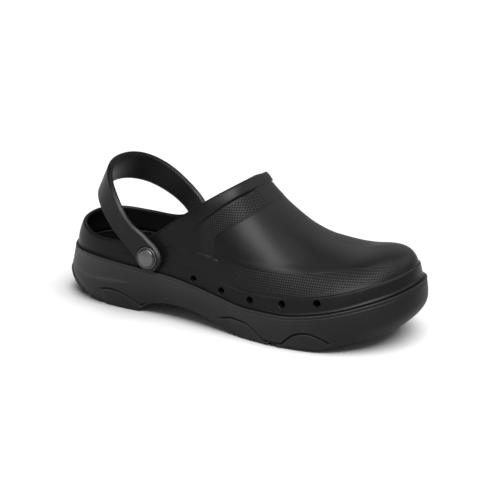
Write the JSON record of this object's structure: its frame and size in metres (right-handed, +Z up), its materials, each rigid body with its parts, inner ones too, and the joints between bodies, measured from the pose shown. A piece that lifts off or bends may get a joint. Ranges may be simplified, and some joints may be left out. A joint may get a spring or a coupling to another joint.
{
  "type": "foam clog",
  "caption": "Right-foot moulded foam work clog with a closed round toe, vented sides, a thick lugged sole and a raised heel strap on domed rivets.",
  "frame": {"origin": "under the middle of the sole's box in plan, on the floor plane", "axes": "+X from heel to toe, +Y to the inner (medial) side of the right foot, +Z up"},
  "size_m": [0.287, 0.1072, 0.1083],
  "materials": {
    "sole_foam": "satin charcoal moulded foam",
    "upper_foam": "satin charcoal moulded foam with a fine embossed grid round a smooth vamp",
    "footbed_foam": "matt dark foam",
    "strap_foam": "satin charcoal foam",
    "rivet_plastic": "smooth dark plastic",
    "badge_plastic": "glossy dark dome"
  },
  "bodies": {
    "root": {"sole": "sole_foam", "upper": "upper_foam", "insole": "footbed_foam", "strap": "strap_foam", "rivet_lateral": "rivet_plastic", "rivet_medial": "rivet_plastic", "badge_lateral": "badge_plastic", "badge_medial": "badge_plastic"}
  },
  "joints": []
}
